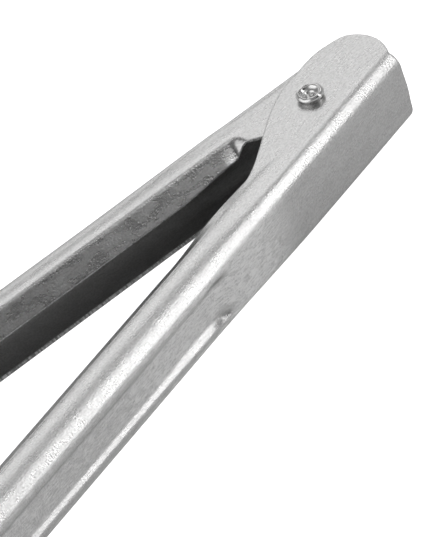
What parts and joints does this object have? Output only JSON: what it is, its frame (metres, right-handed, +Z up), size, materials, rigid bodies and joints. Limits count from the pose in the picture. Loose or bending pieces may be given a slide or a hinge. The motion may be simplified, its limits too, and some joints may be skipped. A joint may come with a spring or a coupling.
{
  "type": "kitchen tongs",
  "caption": "Sprung tongs of pressed stainless sheet: two lipped, grooved channel arms on one rivet, with cupped scalloped jaws, held open by a torsion spring.",
  "frame": {"origin": "middle of the bounding box in X and Y, at its lowest point, with the tongs lying on their side and standing open", "axes": "+Z up along the pivot rivet, +X from the hinge to the jaws, +Y towards the outer arm's back"},
  "size_m": [0.3028, 0.0841, 0.038],
  "materials": {
    "outer_arm_steel": "brushed along the arm, lightly scratched",
    "inner_arm_steel": "brushed along the arm, lightly scratched",
    "rivet_steel": "bright, tumbled",
    "spring_wire": "drawn spring wire"
  },
  "bodies": {
    "outer": {"outer_arm": "outer_arm_steel", "pivot_rivet": "rivet_steel", "torsion_spring": "spring_wire"},
    "inner": {"inner_arm": "inner_arm_steel"}
  },
  "joints": [
    {"name": "squeeze", "type": "hinge", "parent": "outer", "child": "inner", "pos_m": [-0.12498, 0.001, 0.019], "axis": [0, 0, 1], "range_deg": [0, 13.6], "stiffness_Nm_per_rad": 0.6, "springref_deg": -57.3, "deforming": ["torsion_spring"]}
  ]
}
